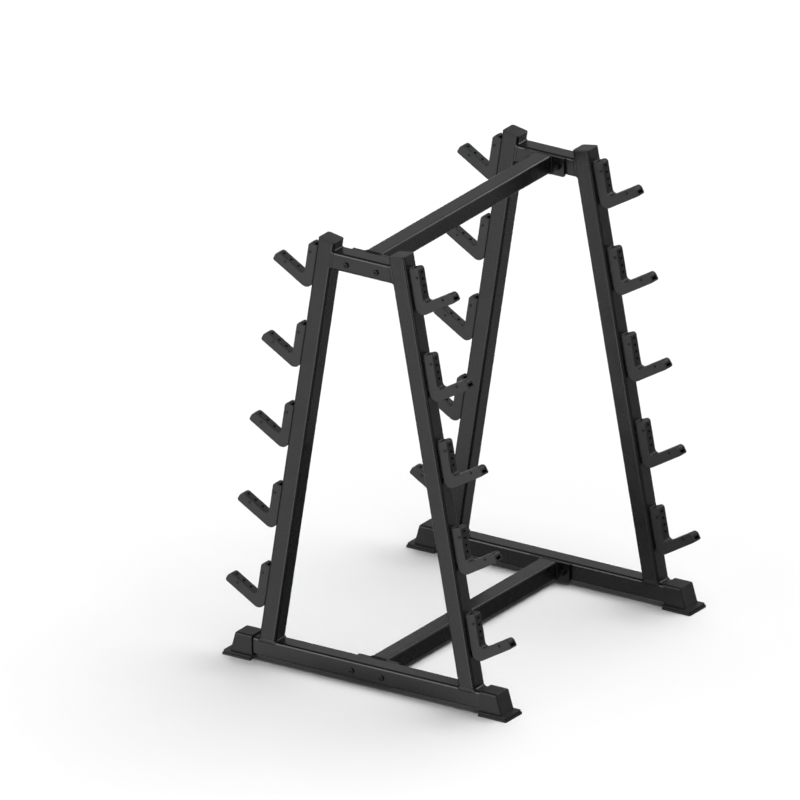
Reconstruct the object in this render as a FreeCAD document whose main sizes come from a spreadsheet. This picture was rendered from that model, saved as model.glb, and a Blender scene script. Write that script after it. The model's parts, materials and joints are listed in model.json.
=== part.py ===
"""Double-sided fixed-barbell rack: two A-shaped end frames, two long tubes, twenty lined J-hooks.

Frame of reference, millimetres: X across the A-frames, Y along the rack (parallel to the bars it
holds), Z up.  The origin is the centre of the footprint, on the floor.  "front" is the -Y end
frame, "left" is the -X side.
"""
import FreeCAD, Part
import math
import os
import Sketcher

from FreeCAD import Placement, Rotation, Vector

# ---------------------------------------------------------------- driving dimensions

SIZES = {
    # square steel tube shared by the whole frame
    "tube_side": 60,
    "tube_wall": 3,
    "tube_corner": 9,
    # end frames
    "frame_spacing": 1012,
    "floor_gap": 14,
    "base_length": 936,
    "lean_angle": 9.84,
    "foot_offset": 367.4,
    "upright_run": 1396.5,
    "cross_middle": 1387,
    # end caps of the uprights
    "cap_thickness": 4,
    "cap_round": 2,
    "cap_seam": 0.8,
    "plug_side": 53.4,
    "plug_round": 7,
    "plug_depth": 18,
    # bolted flange plates of the long tubes
    "flange_width": 150,
    "flange_height": 61,
    "flange_thickness": 10,
    "flange_drop": 3,
    "flange_round": 3,
    "bolt_offset": 55,
    "bolt_hole": 11,
    # M10 button-head bolt, washer and nut
    "bolt_diameter": 10,
    "thread_end": 3,
    "head_diameter": 18,
    "head_height": 5.5,
    "head_dome": 3.8,
    "head_socket": 6,
    "socket_depth": 3.5,
    "washer_diameter": 20,
    "washer_thickness": 2,
    "fastener_bore": 10.4,
    "nut_flats": 16,
    "nut_height": 8.4,
    # rubber foot boots
    "boot_wall": 5.5,
    "boot_inner_reach": 48,
    "boot_top_reach": 12.5,
    "boot_bottom_reach": 35.5,
    "boot_height": 79.5,
    "boot_round": 4,
    "boot_shoulder": 8,
    "sole_height": 14,
    "sole_step": 7,
    "sole_inner_reach": 48,
    "sole_outer_reach": 55.5,
    "sole_margin": 15.5,
    "sole_shelf": 3,
    # J-hooks
    "hook_pitch": 280,
    "hook_first": 91.1,
    "hook_width": 34.5,
    "side_plate": 6,
    "back_pad": 4.5,
    "back_pad_width": 26,
    "back_pad_foot": 28,
    "back_pad_drop": 2,
    "back_pad_lap": 1,
    "leg_depth": 32,
    "leg_height": 143.5,
    "top_angle": 12,
    "top_round": 10,
    "arm_angle": 20.5,
    "arm_thickness": 32,
    "tip_reach": 155,
    "tip_rise": 41.5,
    "tip_round": 13,
    "chin_round": 7,
    "cradle_round": 12,
    "bend_round": 25,
    "spine_thickness": 6,
    "edge_round": 0.8,
    # hook liners and the screws that hold them
    "liner_thickness": 17,
    "liner_proud": 0.6,
    "liner_gap": 1,
    "liner_round": 1,
    "recess_diameter": 9.5,
    "recess_depth": 6,
    "recess_first": 66,
    "recess_pitch": 22,
    "arm_recess_first": 18,
    "arm_recess_pitch": 30,
    "screw_hole": 5.4,
    "screw_diameter": 5,
    "screw_head": 9,
    "screw_head_height": 2.2,
    "screw_dome": 1.3,
    "screw_socket": 3,
    "screw_socket_depth": 1.7,
    "screw_inset": 9.5,
    "leg_screw_rise": 117,
    "arm_screw_setback": 39,
}

HOOKS_PER_UPRIGHT = 5
LEG_RECESSES = 4
ARM_RECESSES = 3
ENDS = {"front": -1, "rear": 1}
SIDES = {"left": -1, "right": 1}

# millimetres within which two positions count as the same, and the sine below which two
# directions count as parallel
CLOSE = 0.01
PARALLEL = 1e-6
LEAST_CUT = 1  # cubic millimetres that every pocket has to take away

doc = FreeCAD.newDocument("BarbellRack")
sheet = doc.addObject("Spreadsheet::Sheet", "Sizes")
for row, (alias, value) in enumerate(SIZES.items(), start=1):
    sheet.set(f"A{row}", alias)
    sheet.set(f"B{row}", str(value))
    sheet.setAlias(f"B{row}", alias)
doc.recompute()


def size(alias):
    """The number in the named cell."""
    return float(sheet.get(alias))


def cell(formula):
    """A formula in cell names, such as 'tube_side / 2', as an expression on the sheet."""
    words = []
    for word in formula.split():
        words.append(f"Sizes.{word}" if word in SIZES else word)
    return " ".join(words)


def bind(target, **formulas):
    """Bind properties of an object to formulas in cell names."""
    for name, formula in formulas.items():
        target.setExpression(name, cell(formula))


LEAN = math.radians(size("lean_angle"))
ARM = math.radians(size("arm_angle"))
HALF_TUBE = size("tube_side") / 2

kept = []


def keep(item, label, placement=None):
    """Name a finished sub-part, place it, and list it for export."""
    item.Label = label
    if placement is not None:
        item.Placement = placement
    kept.append(item)
    return item


# ---------------------------------------------------------------- sketch and body helpers

def new_body(name):
    return doc.addObject("PartDesign::Body", name)


def new_sketch(body, role, name, offset=None):
    """A sketch on one of the body's own origin planes, such as 'XZ_Plane'."""
    plane = next(item for item in body.Origin.OriginFeatures if item.Role == role)
    sketch = body.newObject("Sketcher::SketchObject", name)
    sketch.AttachmentSupport = (plane, [""])
    sketch.MapMode = "FlatFace"
    if offset is not None:
        sketch.AttachmentOffset = offset
    return sketch


def evaluate(formula):
    """The value of a formula in cell names; an angle comes back in degrees."""
    result = sheet.evalExpression(cell(formula))
    return float(getattr(result, "Value", result))


def add_size(sketch, name, formula, kind, *where):
    """A named dimension of a sketch, bound to a formula in cell names."""
    start = evaluate(formula)
    if kind == "Angle":
        start = math.radians(start)
    index = sketch.addConstraint(Sketcher.Constraint(kind, *where, start))
    sketch.renameConstraint(index, name)
    sketch.setExpression(f"Constraints.{name}", cell(formula))


def arc_between(centre, radius, first, last):
    """The arc about centre that runs anticlockwise from the point first to the point last."""
    angles = [math.atan2(point.y - centre.y, point.x - centre.x) for point in (first, last)]
    if angles[1] < angles[0]:
        angles[1] += 2 * math.pi
    return Part.ArcOfCircle(Part.Circle(centre, Vector(0, 0, 1), radius), *angles)


def outline(sketch, corners):
    """A closed outline through (x, y, radius) corners.

    A corner with a radius becomes a tangent arc.  Returns the ids of the lines, where line i
    leaves corner i, and of the arcs by corner.
    """
    count = len(corners)
    points = [Vector(x, y, 0) for x, y, _ in corners]
    begins = []
    finishes = []
    arcs = {}
    shapes = {}
    for i, (_, _, radius) in enumerate(corners):
        here = points[i]
        arriving = (here - points[i - 1]).normalize()
        leaving = (points[(i + 1) % count] - here).normalize()
        if radius == 0:
            finishes.append(here)
            begins.append(here)
            continue
        turn = arriving.getAngle(leaving)
        setback = radius * math.tan(turn / 2)
        finish = here - arriving * setback
        begin = here + leaving * setback
        left_turn = arriving.cross(leaving).z > 0
        centre = finish + Vector(-arriving.y, arriving.x, 0) * (radius if left_turn else -radius)
        ends = (finish, begin) if left_turn else (begin, finish)
        shapes[i] = (arc_between(centre, radius, *ends), left_turn)
        finishes.append(finish)
        begins.append(begin)
    lines = []
    for i in range(count):
        lines.append(sketch.addGeometry(Part.LineSegment(begins[i], finishes[(i + 1) % count]), False))
    for i, (shape, _) in shapes.items():
        arcs[i] = sketch.addGeometry(shape, False)
    for i in range(count):
        before = lines[i - 1]
        after = lines[i]
        if i not in arcs:
            sketch.addConstraint(Sketcher.Constraint("Coincident", before, 2, after, 1))
            continue
        left_turn = shapes[i][1]
        first, last = (1, 2) if left_turn else (2, 1)
        sketch.addConstraint(Sketcher.Constraint("Tangent", before, 2, arcs[i], first))
        sketch.addConstraint(Sketcher.Constraint("Tangent", after, 1, arcs[i], last))
    return lines, arcs


def rectangle(sketch, width, height):
    """A rectangle centred on the sketch origin, its sides bound to two formulas."""
    half_width = evaluate(width) / 2
    half_height = evaluate(height) / 2
    lines, _ = outline(sketch, [
        (-half_width, -half_height, 0),
        (half_width, -half_height, 0),
        (half_width, half_height, 0),
        (-half_width, half_height, 0),
    ])
    for i in (0, 2):
        sketch.addConstraint(Sketcher.Constraint("Horizontal", lines[i]))
    for i in (1, 3):
        sketch.addConstraint(Sketcher.Constraint("Vertical", lines[i]))
    sketch.addConstraint(Sketcher.Constraint("Symmetric", lines[0], 1, lines[2], 1, -1, 1))
    add_size(sketch, "width", width, "DistanceX", lines[0], 1, lines[0], 2)
    add_size(sketch, "height", height, "DistanceY", lines[1], 1, lines[1], 2)


def circle(sketch, name, x, y, diameter):
    """A circle whose centre and diameter are formulas; a centre of '0' lies on the axis."""
    centre = Vector(evaluate(x), evaluate(y), 0)
    ring = sketch.addGeometry(Part.Circle(centre, Vector(0, 0, 1), evaluate(diameter) / 2), False)
    add_size(sketch, f"{name}_diameter", diameter, "Diameter", ring)
    for axis, kind, formula, value in (("x", "DistanceX", x, centre.x), ("y", "DistanceY", y, centre.y)):
        if abs(value) < CLOSE:
            sketch.addConstraint(Sketcher.Constraint("PointOnObject", ring, 3, -2 if axis == "x" else -1))
        elif value > 0:
            add_size(sketch, f"{name}_{axis}", formula, kind, -1, 1, ring, 3)
        else:
            add_size(sketch, f"{name}_{axis}", f"- ( {formula} )", kind, ring, 3, -1, 1)


def settle(feature):
    """Recompute and stop at once if the feature has failed."""
    doc.recompute()
    if "Invalid" in feature.State or feature.Shape.isNull():
        raise RuntimeError(f"{feature.Name} failed: {feature.getStatusString()}")
    return feature


def pad(body, sketch, length, both_ways=True, reverse=False):
    feature = body.newObject("PartDesign::Pad", f"{sketch.Name}_pad")
    feature.Profile = sketch
    feature.Midplane = both_ways
    feature.Reversed = reverse
    bind(feature, Length=length)
    return settle(feature)


def pocket(body, sketch, length=None, both_ways=True, reverse=False):
    """Cut a sketch out of the body: to a depth, or right through when no length is given."""
    before = body.Tip.Shape.Volume
    feature = body.newObject("PartDesign::Pocket", f"{sketch.Name}_cut")
    feature.Profile = sketch
    feature.Midplane = both_ways
    feature.Reversed = reverse
    if length is None:
        feature.Type = "ThroughAll"
    else:
        bind(feature, Length=length)
    settle(feature)
    if feature.Shape.Volume > before - LEAST_CUT:
        raise RuntimeError(f"{body.Name}: {feature.Name} cuts nothing")
    return feature


def round_edges(body, choose, radius):
    """Fillet the edges of the body's tip for which choose(edge) is true."""
    base = body.Tip
    names = [f"Edge{i}" for i, edge in enumerate(base.Shape.Edges, start=1) if choose(edge)]
    feature = body.newObject("PartDesign::Fillet", f"{body.Name}_round{len(body.Group)}")
    feature.Base = (base, names)
    bind(feature, Radius=radius)
    return settle(feature)


def hollow(body, wall, is_open):
    """Leave a wall of the given thickness and open the faces for which is_open(face) is true."""
    base = body.Tip
    names = [f"Face{i}" for i, face in enumerate(base.Shape.Faces, start=1) if is_open(face)]
    feature = body.newObject("PartDesign::Thickness", f"{body.Name}_wall")
    feature.Base = (base, names)
    feature.Join = 0
    feature.Reversed = True
    bind(feature, Value=wall)
    return settle(feature)


def runs_along(edge, direction):
    """True for a straight edge parallel to the direction."""
    if not isinstance(edge.Curve, Part.Line):
        return False
    return edge.tangentAt(edge.FirstParameter).cross(direction).Length < PARALLEL


def faces_along(face, direction):
    """True for a flat face square to the direction."""
    if not isinstance(face.Surface, Part.Plane):
        return False
    return face.normalAt(0, 0).cross(direction).Length < PARALLEL


# ---------------------------------------------------------------- frame tubes

X_AXIS = Vector(1, 0, 0)
Y_AXIS = Vector(0, 1, 0)
Z_AXIS = Vector(0, 0, 1)


def straight_tube(name, role, length, axis):
    """A square tube centred on its own origin, with rounded long edges and open ends."""
    body = new_body(name)
    section = new_sketch(body, role, f"{name}_section")
    rectangle(section, "tube_side", "tube_side")
    pad(body, section, length)
    round_edges(body, lambda edge: runs_along(edge, axis), "tube_corner")
    hollow(body, "tube_wall", lambda face: faces_along(face, axis))
    return body


def drill_bolt_holes(body, name):
    """Two through holes for the flange bolts, across the tube."""
    holes = new_sketch(body, "XZ_Plane", f"{name}_holes")
    circle(holes, "left", "- bolt_offset", "- flange_drop", "bolt_hole")
    circle(holes, "right", "bolt_offset", "- flange_drop", "bolt_hole")
    pocket(body, holes)


def base_tubes():
    """Foot tube of each end frame, lying across the rack."""
    for end, sign in ENDS.items():
        name = f"base_tube_{end}"
        body = straight_tube(name, "YZ_Plane", "base_length", X_AXIS)
        drill_bolt_holes(body, name)
        height = size("floor_gap") + HALF_TUBE
        keep(body, name, Placement(Vector(0, sign * size("frame_spacing") / 2, height), Rotation()))


def upright(end, side):
    """Leaning post: foot cut level to stand on the base tube, top cut square for the cap."""
    name = f"upright_{end}_{side}"
    body = new_body(name)
    side_view = new_sketch(body, "XZ_Plane", f"{name}_side")
    rise = HALF_TUBE * math.tan(LEAN)
    top = evaluate("upright_run - cap_thickness")
    lines, _ = outline(side_view, [
        (-HALF_TUBE, rise, 0),
        (HALF_TUBE, -rise, 0),
        (HALF_TUBE, top, 0),
        (-HALF_TUBE, top, 0),
    ])
    foot, outer, head, inner = lines
    for line in (outer, inner):
        side_view.addConstraint(Sketcher.Constraint("Vertical", line))
    side_view.addConstraint(Sketcher.Constraint("Horizontal", head))
    side_view.addConstraint(Sketcher.Constraint("Symmetric", foot, 1, foot, 2, -1, 1))
    add_size(side_view, "side", "tube_side", "DistanceX", foot, 1, foot, 2)
    add_size(side_view, "foot_cut", "tube_side * tan( lean_angle * 1deg )", "DistanceY", foot, 2, foot, 1)
    add_size(side_view, "run", "upright_run - cap_thickness", "DistanceY", -1, 1, head, 1)
    pad(body, side_view, "tube_side")
    round_edges(body, lambda edge: runs_along(edge, Z_AXIS), "tube_corner")
    foot_normal = Vector(math.sin(LEAN), 0, math.cos(LEAN))
    hollow(body, "tube_wall",
           lambda face: faces_along(face, Z_AXIS) or faces_along(face, foot_normal))
    keep(body, name, upright_place(end, side))


def upright_place(end, side, run=0):
    """Placement of a frame on the upright's centre line, 'run' above its foot: +X outward."""
    foot = Vector(SIDES[side] * size("foot_offset"), ENDS[end] * size("frame_spacing") / 2,
                  evaluate("floor_gap + tube_side"))
    turn = Rotation(Y_AXIS, -math.degrees(LEAN))
    if side == "left":
        turn = Rotation(Z_AXIS, 180) * turn
    return Placement(foot + turn.multVec(Vector(0, 0, run)), turn)


def crosspieces():
    """Top member of each end frame, its ends cut to the lean of the uprights."""
    above_foot = size("cross_middle") - evaluate("floor_gap + tube_side")
    half_middle = size("foot_offset") - above_foot * math.tan(LEAN) - HALF_TUBE / math.cos(LEAN)
    slope = HALF_TUBE * math.tan(LEAN)
    long_side = "2 * ( foot_offset - ( cross_middle - floor_gap - 1.5 * tube_side )" \
                " * tan( lean_angle * 1deg ) - tube_side / 2 / cos( lean_angle * 1deg ) )"
    for end, sign in ENDS.items():
        name = f"crosspiece_{end}"
        body = new_body(name)
        front_view = new_sketch(body, "XZ_Plane", f"{name}_front")
        lines, _ = outline(front_view, [
            (-half_middle - slope, -HALF_TUBE, 0),
            (half_middle + slope, -HALF_TUBE, 0),
            (half_middle - slope, HALF_TUBE, 0),
            (-half_middle + slope, HALF_TUBE, 0),
        ])
        bottom, right, top = lines[:3]
        front_view.addConstraint(Sketcher.Constraint("Symmetric", bottom, 1, bottom, 2, -2))
        front_view.addConstraint(Sketcher.Constraint("Symmetric", top, 1, top, 2, -2))
        add_size(front_view, "drop", "tube_side / 2", "DistanceY", bottom, 1, -1, 1)
        add_size(front_view, "rise", "tube_side / 2", "DistanceY", -1, 1, top, 1)
        add_size(front_view, "long_side", long_side, "DistanceX", bottom, 1, bottom, 2)
        add_size(front_view, "mitre", "tube_side * tan( lean_angle * 1deg )", "DistanceX",
                 right, 2, right, 1)
        pad(body, front_view, "tube_side")
        round_edges(body, lambda edge: runs_along(edge, X_AXIS), "tube_corner")
        mitres = [Vector(math.cos(LEAN), 0, lean_sign * math.sin(LEAN)) for lean_sign in (1, -1)]
        hollow(body, "tube_wall", lambda face: any(faces_along(face, normal) for normal in mitres))
        drill_bolt_holes(body, name)
        keep(body, name, Placement(Vector(0, sign * size("frame_spacing") / 2, size("cross_middle")),
                                   Rotation()))


def long_tubes():
    """The two members that join the end frames, one high and one near the floor."""
    length = "frame_spacing - tube_side - 2 * flange_thickness"
    heights = {"top": size("cross_middle"), "bottom": size("floor_gap") + HALF_TUBE}
    for level, height in heights.items():
        name = f"{level}_long_tube"
        body = straight_tube(name, "XZ_Plane", length, Y_AXIS)
        keep(body, name, Placement(Vector(0, 0, height), Rotation()))


def flange_heights():
    """Height of the flange plates' centres and bolts, by level."""
    drop = size("flange_drop")
    return {"upper": size("cross_middle") - drop, "lower": size("floor_gap") + HALF_TUBE - drop}


def flange_plates():
    """Plates welded across the ends of the long tubes and bolted to the end frames."""
    for level, height in flange_heights().items():
        for end, sign in ENDS.items():
            name = f"{level}_flange_plate_{end}"
            body = new_body(name)
            blank = new_sketch(body, "XZ_Plane", f"{name}_blank")
            rectangle(blank, "flange_width", "flange_height")
            pad(body, blank, "flange_thickness")
            round_edges(body, lambda edge: runs_along(edge, Y_AXIS), "flange_round")
            holes = new_sketch(body, "XZ_Plane", f"{name}_holes")
            circle(holes, "left", "- bolt_offset", "0", "bolt_hole")
            circle(holes, "right", "bolt_offset", "0", "bolt_hole")
            pocket(body, holes)
            inset = evaluate("( frame_spacing - tube_side - flange_thickness ) / 2")
            keep(body, name, Placement(Vector(0, sign * inset, height), Rotation()))


# ---------------------------------------------------------------- end caps and boots

def end_cap(end, side):
    """Plastic cap: a rounded lid flush with the tube and a plug inside it."""
    name = f"end_cap_{end}_{side}"
    body = new_body(name)
    lid = new_sketch(body, "XY_Plane", f"{name}_lid")
    rectangle(lid, "tube_side", "tube_side")
    pad(body, lid, "cap_thickness", both_ways=False)
    round_edges(body, lambda edge: runs_along(edge, Z_AXIS), "tube_corner")
    top = size("cap_thickness")
    round_edges(body, lambda edge: edge.BoundBox.ZMin > top - CLOSE, "cap_round")
    round_edges(body, lambda edge: edge.BoundBox.ZMax < CLOSE, "cap_seam")
    plug = new_sketch(body, "XY_Plane", f"{name}_plug")
    rectangle(plug, "plug_side", "plug_side")
    pad(body, plug, "plug_depth", both_ways=False, reverse=True)
    round_edges(body, lambda edge: runs_along(edge, Z_AXIS) and edge.BoundBox.ZMax < CLOSE, "plug_round")
    keep(body, name, upright_place(end, side, evaluate("upright_run - cap_thickness")))


def foot_boot(end, side):
    """Rubber boot over the end of a base tube; local origin on the floor below the tube's end."""
    name = f"foot_boot_{end}_{side}"
    body = new_body(name)
    sole = new_sketch(body, "XY_Plane", f"{name}_sole")
    sole_outline(sole, "0")
    pad(body, sole, "sole_step", both_ways=False)
    shelf = new_sketch(body, "XY_Plane", f"{name}_shelf")
    sole_outline(shelf, "sole_shelf")
    pad(body, shelf, "sole_height", both_ways=False)
    round_edges(body, lambda edge: runs_along(edge, Z_AXIS) and edge.BoundBox.XMin > 0, "boot_round")
    upper = new_sketch(body, "XZ_Plane", f"{name}_upper")
    height = size("boot_height")
    inner = size("boot_inner_reach")
    lines, _ = outline(upper, [
        (-inner, 0, 0),
        (size("boot_bottom_reach"), 0, 0),
        (size("boot_top_reach"), height, 0),
        (-inner, height, 0),
    ])
    floor_line, slope, top_line, inner_line = lines
    upper.addConstraint(Sketcher.Constraint("Horizontal", top_line))
    upper.addConstraint(Sketcher.Constraint("Vertical", inner_line))
    upper.addConstraint(Sketcher.Constraint("Horizontal", floor_line))
    upper.addConstraint(Sketcher.Constraint("PointOnObject", floor_line, 1, -1))
    add_size(upper, "inner_reach", "boot_inner_reach", "DistanceX", floor_line, 1, -1, 1)
    add_size(upper, "bottom_reach", "boot_bottom_reach", "DistanceX", -1, 1, slope, 1)
    add_size(upper, "top_reach", "boot_top_reach", "DistanceX", -1, 1, slope, 2)
    add_size(upper, "boot_top", "boot_height", "DistanceY", -1, 1, slope, 2)
    pad(body, upper, "tube_side + 2 * boot_wall")
    round_edges(body, lambda edge: runs_along(edge, X_AXIS) and edge.BoundBox.ZMin > height - CLOSE,
                "boot_shoulder")
    round_edges(body, borders_slope, "boot_round")
    socket = new_sketch(body, "YZ_Plane", f"{name}_socket",
                        Placement(Vector(0, evaluate("floor_gap + tube_side / 2"), 0), Rotation()))
    rectangle(socket, "tube_side", "tube_side")
    pocket(body, socket, "sole_inner_reach", both_ways=False)
    reach = SIDES[side] * size("base_length") / 2
    turn = Rotation(Z_AXIS, 180) if side == "left" else Rotation()
    keep(body, name, Placement(Vector(reach, ENDS[end] * size("frame_spacing") / 2, 0), turn))


def borders_slope(edge):
    """True for an edge of a boot's sloping end face, apart from the one along the sole."""
    if edge.BoundBox.ZMax < size("sole_height") + CLOSE:
        return False
    top = Vector(size("boot_top_reach"), 0, size("boot_height"))
    across = Vector(top.z, 0, size("boot_bottom_reach") - top.x).normalize()
    return all(abs(across.dot(vertex.Point - top)) < CLOSE for vertex in edge.Vertexes)


def sole_outline(sketch, inset):
    """Plan of the boot's sole, drawn in by 'inset' at its outer end and both long sides."""
    inner = evaluate("sole_inner_reach")
    outer = evaluate(f"sole_outer_reach - {inset}")
    half = evaluate(f"tube_side / 2 + sole_margin - {inset}")
    lines, _ = outline(sketch, [(-inner, -half, 0), (outer, -half, 0), (outer, half, 0), (-inner, half, 0)])
    for line in (lines[0], lines[2]):
        sketch.addConstraint(Sketcher.Constraint("Horizontal", line))
    for line in (lines[1], lines[3]):
        sketch.addConstraint(Sketcher.Constraint("Vertical", line))
    add_size(sketch, "inner", "sole_inner_reach", "DistanceX", lines[0], 1, -1, 1)
    add_size(sketch, "outer", f"sole_outer_reach - {inset}", "DistanceX", -1, 1, lines[0], 2)
    add_size(sketch, "near", f"tube_side / 2 + sole_margin - {inset}", "DistanceY", lines[0], 1, -1, 1)
    add_size(sketch, "far", f"tube_side / 2 + sole_margin - {inset}", "DistanceY", -1, 1, lines[2], 1)


# ---------------------------------------------------------------- J-hooks
#
# Local frame of a hook: origin on the upright's outer face, +X straight out from that face,
# +Z up along the upright, Y across the hook.  The hook's lowest point is near z = 0.

ARM_NORMAL = Vector(-math.sin(ARM), 0, math.cos(ARM))


def hook_corners():
    """Corners of the hook's side view, as (x, y, radius), from the top of the leg outward."""
    back = size("back_pad")
    front = back + size("leg_depth")
    tip_low = Vector(size("tip_reach"), 0, size("tip_rise"))
    tip_high = tip_low + ARM_NORMAL * size("arm_thickness")
    cradle = tip_high.z - (tip_high.x - front) * math.tan(ARM)
    heel = tip_low.z - (tip_low.x - back) * math.tan(ARM)
    top_slope = math.tan(math.radians(size("top_angle")))
    leg_top = size("leg_height")
    return [
        (back, leg_top, 0),
        (front, leg_top + size("leg_depth") * top_slope, size("top_round")),
        (front, cradle, size("cradle_round")),
        (tip_high.x, tip_high.z, size("tip_round")),
        (tip_low.x, tip_low.z, size("chin_round")),
        (back, heel, size("bend_round")),
    ]


def draw_hook_side(sketch):
    """The hook's side view with all its dimensions bound to the sheet."""
    lines, arcs = outline(sketch, hook_corners())
    leg_top, leg_front, arm_top, tip, arm_bottom, back = lines
    for line in (leg_front, back):
        sketch.addConstraint(Sketcher.Constraint("Vertical", line))
    sketch.addConstraint(Sketcher.Constraint("Parallel", arm_top, arm_bottom))
    sketch.addConstraint(Sketcher.Constraint("Perpendicular", arm_bottom, tip))
    add_size(sketch, "top_angle", "top_angle * 1deg", "Angle", leg_top)
    add_size(sketch, "arm_angle", "arm_angle * 1deg", "Angle", arm_top)
    add_size(sketch, "back_offset", "back_pad", "DistanceX", -1, 1, leg_top, 1)
    add_size(sketch, "leg_height", "leg_height", "DistanceY", -1, 1, leg_top, 1)
    add_size(sketch, "leg_front", "back_pad + leg_depth", "DistanceX", -1, 1, leg_front, 1)
    add_size(sketch, "tip_reach", "tip_reach - chin_round * sin( arm_angle * 1deg )", "DistanceX",
             -1, 1, tip, 2)
    add_size(sketch, "tip_rise", "tip_rise + chin_round * cos( arm_angle * 1deg )", "DistanceY",
             -1, 1, tip, 2)
    add_size(sketch, "arm_thickness", "arm_thickness", "Distance", arm_top, 1, arm_bottom)
    rounds = {1: "top_round", 2: "cradle_round", 3: "tip_round", 4: "chin_round", 5: "bend_round"}
    for corner, name in rounds.items():
        add_size(sketch, name, name, "Radius", arcs[corner])


def lies_at_side(edge, half):
    """True for an edge that lies in either of the planes y = half and y = -half."""
    return abs(edge.BoundBox.YMin) > half - CLOSE and edge.BoundBox.YLength < CLOSE


def hook_bracket(end, side, number):
    """Steel J: two side plates, the spine that joins them, and the pad welded to the upright."""
    name = f"hook_{end}_{side}_{number}"
    body = new_body(name)
    side_view = new_sketch(body, "XZ_Plane", f"{name}_side")
    draw_hook_side(side_view)
    pad(body, side_view, "hook_width")
    half = size("hook_width") / 2
    round_edges(body, lambda edge: lies_at_side(edge, half), "edge_round")
    channel = new_sketch(body, "XZ_Plane", f"{name}_channel")
    draw_channel(channel)
    pocket(body, channel, "hook_width - 2 * side_plate")
    weld_pad = new_sketch(body, "XZ_Plane", f"{name}_pad")
    draw_weld_pad(weld_pad)
    pad(body, weld_pad, "back_pad_width")
    screw_holes = new_sketch(body, "XZ_Plane", f"{name}_screw_holes")
    draw_screw_holes(screw_holes)
    pocket(body, screw_holes)
    keep(body, name, hook_place(end, side, number))


def draw_channel(sketch):
    """Space between the side plates: everything inside the spine, open at the top and the tip."""
    overrun = 20
    left = evaluate("back_pad + spine_thickness")
    right = evaluate(f"tip_reach + {overrun}")
    top = evaluate(f"leg_height + {overrun}")
    spine_face = f"tip_rise + {overrun} * tan( arm_angle * 1deg )" \
                 " + spine_thickness / cos( arm_angle * 1deg )"
    low = evaluate(spine_face)
    heel = low - (right - left) * math.tan(ARM)
    lines, arcs = outline(sketch, [
        (left, top, 0),
        (left, heel, evaluate("bend_round - spine_thickness")),
        (right, low, 0),
        (right, top, 0),
    ])
    back, floor_line, mouth, lid = lines
    for line in (back, mouth):
        sketch.addConstraint(Sketcher.Constraint("Vertical", line))
    sketch.addConstraint(Sketcher.Constraint("Horizontal", lid))
    add_size(sketch, "arm_angle", "arm_angle * 1deg", "Angle", floor_line)
    add_size(sketch, "spine_back", "back_pad + spine_thickness", "DistanceX", -1, 1, back, 1)
    add_size(sketch, "top", f"leg_height + {overrun}", "DistanceY", -1, 1, back, 1)
    add_size(sketch, "mouth", f"tip_reach + {overrun}", "DistanceX", -1, 1, mouth, 1)
    add_size(sketch, "spine_face", spine_face, "DistanceY", -1, 1, mouth, 1)
    add_size(sketch, "heel_round", "bend_round - spine_thickness", "Radius", arcs[1])


def draw_weld_pad(sketch):
    """Strip behind the leg that stands the hook off the upright; it laps a little into the spine."""
    top = evaluate("leg_height - back_pad_drop")
    foot = size("back_pad_foot")
    depth = evaluate("back_pad + back_pad_lap")
    lines, _ = outline(sketch, [(0, foot, 0), (depth, foot, 0), (depth, top, 0), (0, top, 0)])
    low, front, high, back = lines
    for line in (low, high):
        sketch.addConstraint(Sketcher.Constraint("Horizontal", line))
    for line in (front, back):
        sketch.addConstraint(Sketcher.Constraint("Vertical", line))
    sketch.addConstraint(Sketcher.Constraint("PointOnObject", low, 1, -2))
    add_size(sketch, "depth", "back_pad + back_pad_lap", "DistanceX", low, 1, low, 2)
    add_size(sketch, "foot", "back_pad_foot", "DistanceY", -1, 1, low, 1)
    add_size(sketch, "top", "leg_height - back_pad_drop", "DistanceY", -1, 1, high, 1)


SCREW_PLACES = {
    "leg": ("back_pad + leg_depth - screw_inset", "leg_screw_rise"),
    "arm": ("tip_reach - ( arm_thickness - screw_inset ) * sin( arm_angle * 1deg )"
            " - arm_screw_setback * cos( arm_angle * 1deg )",
            "tip_rise + ( arm_thickness - screw_inset ) * cos( arm_angle * 1deg )"
            " - arm_screw_setback * sin( arm_angle * 1deg )"),
}


def hook_place(end, side, number):
    """Placement of a hook's local frame; hooks are numbered from the floor up."""
    run = size("hook_first") + (number - 1) * size("hook_pitch")
    on_axis = upright_place(end, side, run)
    return on_axis * Placement(Vector(HALF_TUBE, 0, 0), Rotation())


def each_hook():
    for end in ENDS:
        for side in SIDES:
            for number in range(1, HOOKS_PER_UPRIGHT + 1):
                yield end, side, number


def draw_screw_holes(sketch):
    for place, (x, z) in SCREW_PLACES.items():
        circle(sketch, place, x, z, "screw_hole")


def liner_corners():
    """Corners of the liner's side view: it follows the leg's front and the arm's top."""
    proud = size("liner_proud")
    thickness = size("liner_thickness")
    plate = hook_corners()
    top_slope = math.tan(math.radians(size("top_angle")))
    front = plate[1][0] + proud
    inner = front - thickness
    nose = Vector(plate[3][0], 0, plate[3][1]) + ARM_NORMAL * proud
    chin = nose - ARM_NORMAL * thickness
    cradle = nose.z - (nose.x - front) * math.tan(ARM)
    inner_cradle = chin.z - (chin.x - inner) * math.tan(ARM)
    leg_top = size("leg_height")
    back = size("back_pad")
    return [
        (inner, leg_top + (inner - back) * top_slope, 0),
        (front, leg_top + (front - back) * top_slope, size("top_round")),
        (front, cradle, size("cradle_round") - proud),
        (nose.x, nose.z, size("tip_round")),
        (chin.x, chin.z, 0),
        (inner, inner_cradle, size("cradle_round") + thickness),
    ]


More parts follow.
